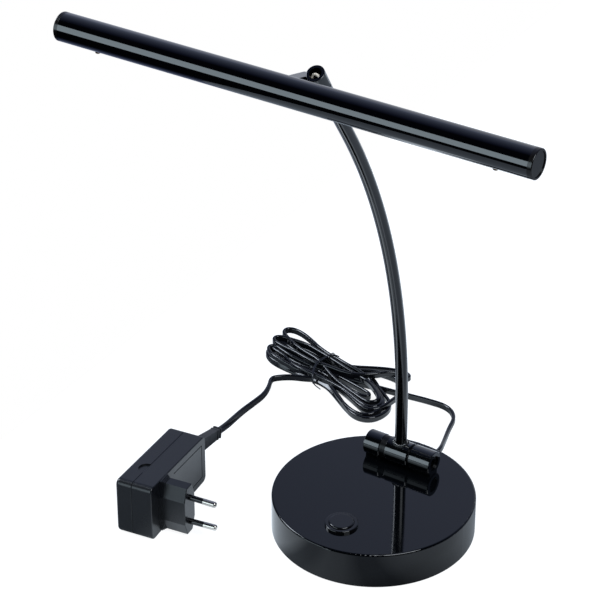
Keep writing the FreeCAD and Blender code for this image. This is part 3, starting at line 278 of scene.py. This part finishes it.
def finish(name, colour, roughness, drift=0.1, drift_mm=25.0, shade=None, grains=(), **shader):
    """A surface whose roughness and colour drift slowly over it, with grains of bump.

    A grain is (texture, size, depth, stretch): a node kind, its feature size and
    relief in millimetres, and how far it is drawn out along x, y and z.
    """
    material = blank_material(name)
    tree = material.node_tree
    place = add(tree, "ShaderNodeTexCoord").outputs["Object"]
    cloud = add(tree, "ShaderNodeTexNoise", {"Vector": place, "Scale": 1 / (drift_mm * MM), "Detail": 3.0})
    uneven = add(tree, "ShaderNodeMapRange", {
        "Value": cloud.outputs["Fac"], "From Min": 0.3, "From Max": 0.7,
        "To Min": roughness * (1 - drift), "To Max": roughness * (1 + drift)})
    settings = {"Roughness": uneven.outputs["Result"]}
    if shade:
        tone = add(tree, "ShaderNodeMix", {
            "data_type": "RGBA", 0: cloud.outputs["Fac"], 6: linear(colour), 7: linear(shade)})
        settings["Base Color"] = tone.outputs[2]
    else:
        settings["Base Color"] = linear(colour)
    for texture, size, depth, stretch in grains:
        drawn = add(tree, "ShaderNodeMapping", {"Vector": place, "Scale": [1 / s for s in stretch]})
        grain = add(tree, texture, {"Vector": drawn.outputs["Vector"], "Scale": 1 / (size * MM)})
        relief = {"Height": grain.outputs[0], "Distance": depth * MM, "Strength": 1.0}
        if "Normal" in settings:
            relief["Normal"] = settings["Normal"]
        settings["Normal"] = add(tree, "ShaderNodeBump", relief).outputs["Normal"]
    settings.update({key.replace("_", " "): value for key, value in shader.items()})
    surface = add(tree, "ShaderNodeBsdfPrincipled", settings)
    add(tree, "ShaderNodeOutputMaterial", {"Surface": surface.outputs[0]})
    return material


NOISE = "ShaderNodeTexNoise"
CELLS = "ShaderNodeTexVoronoi"
EVEN = (1, 1, 1)

# Stoved black enamel on the base: mirror-like and deep, with a very faint orange peel
base_enamel = finish("black_enamel_stoved", "#040507", 0.05, drift=0.3,
                      grains=[(NOISE, 2.2, 0.0022, EVEN)], IOR=1.45)
# Black lacquer under a clear coat on the head: wet-looking, with two layers of reflection
head_lacquer = finish("black_lacquer_polished", "#020204", 0.06, drift=0.3,
                      grains=[(NOISE, 1.8, 0.0012, EVEN)], Coat_Weight=1.0, Coat_Roughness=0.03)
# The same lacquer sprayed on tube and hinge: a little softer, so its streaks have soft edges
arm_lacquer = finish("black_lacquer_sprayed", "#020304", 0.12, drift=0.25,
                     grains=[(NOISE, 1.2, 0.0018, EVEN)], Coat_Weight=1.0, Coat_Roughness=0.06)
# Glossy black moulded ABS of the end caps, with a slight sink in their faces
cap_plastic = finish("black_abs_cap", "#0a0909", 0.16, drift=0.3, shade="#151312",
                     grains=[(NOISE, 2.4, 0.01, EVEN)])
# Glossy black moulded ABS of the switch: smooth, with slight sink and flow unevenness
switch_plastic = finish("black_abs_glossy", "#0b0b0c", 0.1, drift=0.3, grains=[(NOISE, 3.0, 0.003, EVEN)])
# Spark-eroded black ABS of the adaptor: a fine even grain that spreads the light
adaptor_plastic = finish("black_abs_spark_textured", "#08090c", 0.3, drift=0.12, shade="#15171b",
                         grains=[(NOISE, 0.35, 0.012, EVEN), (NOISE, 9.0, 0.02, EVEN)])
# Softer plastic of the strain relief: duller, with flow lines along it
relief_plastic = finish("black_pvc_moulded", "#151618", 0.38, drift=0.15, shade="#1c1d20",
                        grains=[(NOISE, 0.5, 0.01, (1, 6, 1))])
# Extruded PVC of the lead: black, fairly glossy, drawn out along its length
cord_vinyl = finish("black_pvc_extruded", "#08090c", 0.13, drift=0.25, drift_mm=8.0, shade="#101116",
                    grains=[(NOISE, 0.9, 0.006, EVEN)])
# Paper-thin PVC on the tie's wire
tie_vinyl = finish("black_pvc_tie", "#1d1f24", 0.2, grains=[(NOISE, 0.6, 0.008, EVEN)])
# Ivory silicone on the lamp's inner wire: smooth, a little translucent. The wire is modelled, but its pale
# ivory is a painted highlight that stands in for the bright crescent in the knuckle's mouth
ivory_wire_painted_highlight = finish("silicone_ivory_painted_highlight", "#e6dccb", 0.24, Subsurface_Weight=0.2,
                     Subsurface_Radius=(0.001, 0.001, 0.001), grains=[(NOISE, 0.4, 0.004, EVEN)])
# Moulded rubber of the pad and grommet: dull, with a fine matt skin
rubber = finish("black_rubber_moulded", "#17171a", 0.68, shade="#1f1f22", grains=[(NOISE, 0.3, 0.02, EVEN)])
# Nylon washers and discs: dark, waxy
nylon = finish("black_nylon_turned", "#050506", 0.3, Specular_IOR_Level=0.25,
               grains=[(NOISE, 0.5, 0.006, EVEN)])
# Blackened steel screws and bolt: dark oxide with a dry sheen
black_steel = finish("steel_black_oxide", "#2b2c2f", 0.36, shade="#1d1e20", Metallic=1.0,
                     grains=[(NOISE, 0.4, 0.004, EVEN)])
# Bright zinc on the hidden steel
zinc_steel = finish("steel_zinc_plated", "#b9bec6", 0.3, shade="#a4a9b0", Metallic=1.0,
                    grains=[(NOISE, 0.8, 0.006, EVEN)])
# Nickel on the plug's pins: bright, with faint drawing lines along the pin
pin_nickel = finish("nickel_plated_drawn", "#d6d1c8", 0.2, shade="#bdb7ae", Metallic=1.0,
                    grains=[(NOISE, 0.3, 0.003, (8, 1, 1))])
# Turned brass screws, slightly tarnished to brown
tip_brass = finish("brass_turned", "#8a6a42", 0.34, shade="#6b4f30", Metallic=1.0,
                   grains=[(NOISE, 0.4, 0.005, EVEN)])
# Opal acrylic: milky, light passes a little way in before it scatters
opal = finish("acrylic_opal_extruded", "#e9e9e6", 0.22, Subsurface_Weight=0.6,
              Subsurface_Radius=(0.004, 0.004, 0.004), Subsurface_Scale=1.0,
              grains=[(NOISE, 4.0, 0.004, (8, 1, 1))])
# White-coated aluminium circuit strip
board_white = finish("solder_mask_white", "#dfe0dc", 0.4, grains=[(NOISE, 0.6, 0.004, EVEN)])
# Phosphor-filled resin of the light chips
chip_resin = finish("silicone_phosphor", "#e0b54a", 0.35, shade="#d3a63c", grains=[(NOISE, 0.3, 0.01, EVEN)])
# Rough cast iron of the weight, hidden in the base
cast_iron = finish("iron_cast", "#4a4a4c", 0.62, shade="#3a3a3c", Metallic=1.0,
                   grains=[(CELLS, 2.0, 0.15, EVEN), (NOISE, 0.5, 0.08, EVEN)])
# Glass-fibre circuit board and ferrite, hidden in the adaptor
laminate = finish("epoxy_glass_green", "#1f4a31", 0.4, grains=[(NOISE, 0.5, 0.01, EVEN)])
ferrite = finish("ferrite_pressed", "#2c2c2e", 0.6, grains=[(NOISE, 0.6, 0.02, EVEN)])

NODE_FINISHES = {
    "base_cover": base_enamel, "base_weight": cast_iron, "base_plate": zinc_steel,
    "base_plate_screws": zinc_steel, "foot_pad": rubber, "cord_grommet": rubber,
    "switch_bezel": switch_plastic, "switch_nut": zinc_steel, "switch_body": switch_plastic,
    "switch_button": switch_plastic,
    "hinge_left_barrel": arm_lacquer, "hinge_right_barrel": arm_lacquer, "hinge_middle_barrel": arm_lacquer,
    "hinge_washers": nylon, "hinge_bolt": black_steel, "hinge_nut": black_steel,
    "hinge_foot_screws": zinc_steel,
    "arm_tube": arm_lacquer, "arm_wires": tie_vinyl, "arm_knuckle": arm_lacquer,
    "pivot_bolt": black_steel, "friction_washer": nylon, "head_neck": arm_lacquer, "neck_screws": zinc_steel,
    "head_tube": head_lacquer, "end_cap_left": cap_plastic, "end_cap_right": cap_plastic,
    "led_board": board_white, "led_chips": chip_resin, "diffuser": opal, "diffuser_screws": tip_brass,
    "adaptor_front_shell": adaptor_plastic, "adaptor_rear_shell": adaptor_plastic,
    "adaptor_plug_nose": adaptor_plastic, "plug_pins": pin_nickel, "pin_sleeves": switch_plastic,
    "adaptor_circuit": laminate, "adaptor_transformer": ferrite, "adaptor_strain_relief": relief_plastic,
}
for node_name, material in NODE_FINISHES.items():
    for material_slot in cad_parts[node_name].material_slots:
        material_slot.material = material

# ---------------------------------------------------------------- lead and tie
cord_line = nurbs_points(cord_route(), CORD_STEPS)
run = np.concatenate(([0.0], np.cumsum(np.linalg.norm(np.diff(cord_line, axis=0), axis=1))))
# The flat lead stands on its edge, but lies over where it leaves the strain relief
# and leans back on its side along the front of the hank
cord_roll = np.interp(run[-1] - run, RELIEF_REACH, RELIEF_LEAN)
step = np.linspace(0, len(cord_route()) - 1, len(cord_line)) - len(BASE_ROUTE)
cord_roll += np.interp(step, LEANING, (0.0, LEAN, LEAN, 0.0))
lead = sweep("lead", cord_line, twin_profile(), cord_roll)
lead.data.materials.append(cord_vinyl)
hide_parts("cord_base_run", "cord_plug_run", "cord_hank")
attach(lead, "base")

TIE_WIRE_D = 0.8 * MM
TIE_ROUTE = [
    (10.4, 13.6, 9.0), (7.6, 12.6, 9.9), (5.4, 10.2, 9.9), (4.7, 4.0, 9.9), (5.4, -2.4, 9.9),
    (7.6, -7.8, 9.2), (10.6, -11.6, 8.6), (13.4, -14.9, 7.2), (14.9, -16.4, 4.4), (15.4, -15.4, 1.0),
    (12.4, -10.0, 0.5), (8.0, -2.0, 0.5), (5.0, 6.0, 0.5), (3.8, 12.4, 0.8), (3.6, 15.2, 4.0),
    (3.9, 15.0, 8.2), (4.5, 12.4, 9.9), (5.3, 8.6, 9.9), (5.9, 3.6, 9.9), (6.6, -2.6, 9.9),
    (8.8, -8.2, 9.2), (11.8, -12.2, 8.6), (14.6, -15.4, 7.0), (15.9, -16.6, 4.2), (16.9, -15.8, 1.6),
    (19.2, -15.2, 0.7), (22.2, -15.4, 0.6),
]
tie_line = nurbs_points(np.array([hank_point(*row) for row in TIE_ROUTE]), CORD_STEPS)
tie = sweep("tie", tie_line, round_profile(TIE_WIRE_D, 10))
tie.data.materials.append(tie_vinyl)
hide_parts("cord_tie")
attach(tie, "base")

# ---------------------------------------------------------------- weld at the arm's foot
ARM_AXIS = (-3.0 * MM, 38.4 * MM)
BARREL_AXIS_Z = 33.6 * MM
BARREL_R = 8.0 * MM
ARM_R = 4.0 * MM
WELD_LEG = 1.3 * MM
WELD_RIPPLES = 26
WELD_RIPPLE = 0.18                         # share by which a ripple lengthens the leg
WELD_BULGE = 0.22                          # share of the leg
WELD_AROUND = 157                          # points round the arm
WELD_ACROSS = 7                            # points across the bead
WELD_ROOT = 0.86                           # share of the face's distance from the arm's axis
WELD_ROOT_DEPTH = 0.9 * MM


def weld_bead():
    """Rippled fillet where an upright tube of radius r meets a level barrel of radius R.

    The barrel's height at distance d and angle a from the tube's axis is
    sqrt(R^2 - (d sin a)^2).  The bead's face runs from the tube down to the
    barrel and bulges by a sine across it, and by a cosine along it.
    """
    around = np.linspace(0.0, 2 * math.pi, WELD_AROUND)[:, None]
    across = np.linspace(0.0, 1.0, WELD_ACROSS)[None, :]
    leg = WELD_LEG * (1 + WELD_RIPPLE * np.cos(WELD_RIPPLES * around))
    bulge = WELD_BULGE * leg * np.sin(math.pi * across)
    distance = ARM_R + leg * across + bulge
    on_barrel = np.sqrt(BARREL_R ** 2 - (np.minimum(ARM_R + leg * across, BARREL_R) * np.sin(around)) ** 2)
    height = BARREL_AXIS_Z + on_barrel + leg * (1 - across) + bulge
    right = ARM_AXIS[0] + distance * np.cos(around)
    back = ARM_AXIS[1] + distance * np.sin(around)
    face = np.stack((right, back, height), -1)
    root = face[:, [0, -1]]
    root[..., :2] = ARM_AXIS + (root[..., :2] - ARM_AXIS) * WELD_ROOT
    root[..., 2] -= WELD_ROOT_DEPTH
    return grid_mesh("weld", np.concatenate((face, root[:, ::-1]), axis=1), closed_ends=False)


weld = weld_bead()
weld.data.materials.append(arm_lacquer)
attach(weld, "arm")

# ---------------------------------------------------------------- wire in the knuckle's mouth
KNUCKLE_RIM = np.array((-3.0, -67.1, 350.0)) * MM
KNUCKLE_LEAN = math.radians(33.5)
WIRE_D = 1.7 * MM
WIRE_ROUTE = [
    (-3.0, -0.9, -4.4), (-2.5, -0.1, -2.9), (-1.3, 0.5, -2.2), (0.2, 0.5, -2.1), (1.7, -0.1, -2.4),
    (2.7, -1.0, -3.4), (3.0, -1.8, -5.0),
]


def knuckle_point(across, back, out):
    """A point by the knuckle's rim.

    Its millimetres run along the joint, back in the rim's plane and out of the mouth.
    """
    sine, cosine = math.sin(KNUCKLE_LEAN), math.cos(KNUCKLE_LEAN)
    offset = np.array((across, back * cosine - out * sine, back * sine + out * cosine))
    return KNUCKLE_RIM + offset * MM


# The wire's pale colour is a painted highlight for the bright crescent in the mouth
wire_line = nurbs_points(np.array([knuckle_point(*row) for row in WIRE_ROUTE]), CORD_STEPS)
wire = sweep("head_wire", wire_line, round_profile(WIRE_D, 10))
wire.data.materials.append(ivory_wire_painted_highlight)
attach(wire, "arm")

# ---------------------------------------------------------------- floor, light and camera
FLOOR_LEFT = -0.26
FLOOR_RIGHT = 1.1
FLOOR_FRONT = -0.75
FLOOR_BACK = 0.95
FLOOR_COLOUR = "#969a9e"
# Seen by the camera the table glows this much on top of its own lit colour,
# which is enough to hide the object's shadow on it
FLOOR_GLOW = 0.9
# How bright the table is in glossy surfaces and through clear ones, by x in
# millimetres: strips chosen for the bands that they give the black gloss
TABLE_STRIPS = [
    (-125, 0.0), (-100, 0.9), (-44, 0.9), (-30, 0.12), (-18, 0.14), (-4, 0.42), (15, 0.36), (32, 0.0),
    (50, 0.0), (62, 0.28), (78, 0.5), (95, 0.5), (120, 0.03),
]
# Towards the front they fade, between these places of y, into a dim table that is paler at the right
STRIP_FADE = (-130, -90)
FRONT_STRIPS = [(90, 0.02), (200, 0.25)]
STRIP_COLOUR = "#e3eef8"
WHITE = (1.0, 1.0, 1.0, 1.0)


def floor_sheet():
    """Table that is white to the camera and striped in reflections."""
    corners = [(FLOOR_LEFT, FLOOR_FRONT, 0), (FLOOR_RIGHT, FLOOR_FRONT, 0),
               (FLOOR_RIGHT, FLOOR_BACK, 0), (FLOOR_LEFT, FLOOR_BACK, 0)]
    mesh = bpy.data.meshes.new("floor")
    mesh.from_pydata(corners, [], [(0, 1, 2, 3)])
    sheet = bpy.data.objects.new("floor", mesh)
    bpy.context.collection.objects.link(sheet)
    material = blank_material("table_white_laminate")
    tree = material.node_tree
    light_path = add(tree, "ShaderNodeLightPath")
    bounced = add(tree, "ShaderNodeMath", {"operation": "ADD", 0: light_path.outputs["Is Glossy Ray"],
                                           1: light_path.outputs["Is Transmission Ray"]})
    place = add(tree, "ShaderNodeSeparateXYZ", {0: add(tree, "ShaderNodeTexCoord").outputs["Object"]})
    tones = []
    for rows in (FRONT_STRIPS, TABLE_STRIPS):
        first, last = rows[0][0], rows[-1][0]
        along = add(tree, "ShaderNodeMapRange", {"Value": place.outputs["X"],
                                                 "From Min": first * MM, "From Max": last * MM})
        shades = [((x - first) / (last - first), [level * part for part in linear(STRIP_COLOUR)[:3]] + [1.0])
                  for x, level in rows]
        tones.append(ramp(tree, along.outputs["Result"], shades))
    fade = add(tree, "ShaderNodeMapRange", {"Value": place.outputs["Y"], "From Min": STRIP_FADE[0] * MM,
                                            "From Max": STRIP_FADE[1] * MM})
    table = add(tree, "ShaderNodeMix", {"data_type": "RGBA", 0: fade.outputs["Result"],
                                        6: tones[0], 7: tones[1]})
    seen = add(tree, "ShaderNodeMix", {"data_type": "RGBA", 0: bounced.outputs[0], 6: WHITE,
                                       7: table.outputs[2]})
    level = add(tree, "ShaderNodeMath", {"operation": "MULTIPLY_ADD", 0: light_path.outputs["Is Camera Ray"],
                                         1: FLOOR_GLOW, 2: bounced.outputs[0]})
    glow = add(tree, "ShaderNodeEmission", {"Color": seen.outputs[2], "Strength": level.outputs[0]})
    matt = add(tree, "ShaderNodeBsdfDiffuse", {"Color": linear(FLOOR_COLOUR)})
    both = add(tree, "ShaderNodeAddShader", {0: glow.outputs[0], 1: matt.outputs[0]})
    add(tree, "ShaderNodeOutputMaterial", {"Surface": both.outputs[0]})
    mesh.materials.append(material)


# The studio's tones in reflections, from straight in front of the object to straight behind it
STUDIO_TONES = [
    (0.0, "#0a0b0d"), (0.34, "#0c0d12"), (0.45, "#3b425d"), (0.65, "#6d7793"), (0.815, "#8c97b3"),
    (0.86, "#aab4d1"), (0.93, "#b1b6c3"), (1.0, "#c8ccd4"),
]
# From this x of a direction on to the right, tones are taken from further in front, by this share of x
RIGHT_EDGE = -0.3
RIGHT_DIM = 0.55


def studio_world():
    """White to the camera, and in reflections a dim studio, dark in front and at the right."""
    world = bpy.data.worlds.new("studio")
    bpy.context.scene.world = world
    world.use_nodes = True
    tree = world.node_tree
    tree.nodes.clear()
    direction = add(tree, "ShaderNodeTexCoord").outputs["Generated"]
    parts = add(tree, "ShaderNodeSeparateXYZ", {0: direction})
    right = add(tree, "ShaderNodeMath", {"operation": "MAXIMUM", 0: parts.outputs["X"], 1: RIGHT_EDGE})
    shifted = add(tree, "ShaderNodeMath", {"operation": "MULTIPLY_ADD", 0: right.outputs[0], 1: -RIGHT_DIM,
                                           2: parts.outputs["Y"]})
    offset = -RIGHT_DIM * RIGHT_EDGE
    depth = add(tree, "ShaderNodeMapRange", {"Value": shifted.outputs[0],
                                             "From Min": offset - 1.0, "From Max": offset + 1.0})
    tones = ramp(tree, depth.outputs["Result"], [(place, linear(colour)) for place, colour in STUDIO_TONES])
    light_path = add(tree, "ShaderNodeLightPath")
    clear = add(tree, "ShaderNodeMath", {"operation": "ADD", 0: light_path.outputs["Is Camera Ray"],
                                         1: light_path.outputs["Is Transmission Ray"]})
    mix = add(tree, "ShaderNodeMix", {"data_type": "RGBA", 0: clear.outputs[0],
                                      6: tones, 7: WHITE})
    sky = add(tree, "ShaderNodeBackground", {"Color": mix.outputs[2], "Strength": 1.0})
    add(tree, "ShaderNodeOutputWorld", {"Surface": sky.outputs[0]})


def softbox(name, place, aim, width, height, watts, colour):
    """Flat studio light that faces a point."""
    lamp = bpy.data.lights.new(name, "AREA")
    lamp.shape = "RECTANGLE"
    lamp.size = width
    lamp.size_y = height
    lamp.energy = watts
    lamp.color = linear(colour)[:3]
    box = bpy.data.objects.new(name, lamp)
    bpy.context.collection.objects.link(box)
    box.location = place
    facing = np.array(aim) - np.array(place)
    yaw = math.atan2(facing[1], facing[0]) - math.pi / 2
    tilt = math.atan2(math.hypot(facing[0], facing[1]), -facing[2])
    box.rotation_euler = (tilt, 0.0, yaw)


# Name, place, point faced, width, height, watts and colour
SOFTBOXES = [
    ("key", (1.15, -0.45, 1.55), (0, 0, 0.1), 1.1, 1.1, 26, "#eef6ff"),
    ("low_front", (-1.1, -2.1, 0.72), (0, 0, 0.35), 1.8, 1.4, 20, "#e0f3ff"),
    ("high_left", (-1.23, -0.15, 1.08), (-0.13, 0.13, 0), 0.6, 0.6, 16, "#e8f2ff"),
]

floor_sheet()
studio_world()
for lamp_row in SOFTBOXES:
    softbox(*lamp_row)

camera = bpy.data.objects.new("camera", bpy.data.cameras.new("camera"))
bpy.context.collection.objects.link(camera)
camera.data.lens = CAMERA_LENS
camera.data.sensor_width = SENSOR_WIDTH
camera.location = CAMERA_PLACE
camera.rotation_euler = [math.radians(angle) for angle in CAMERA_TURN]
bpy.context.scene.camera = camera
bpy.context.scene.view_settings.view_transform = "Standard"
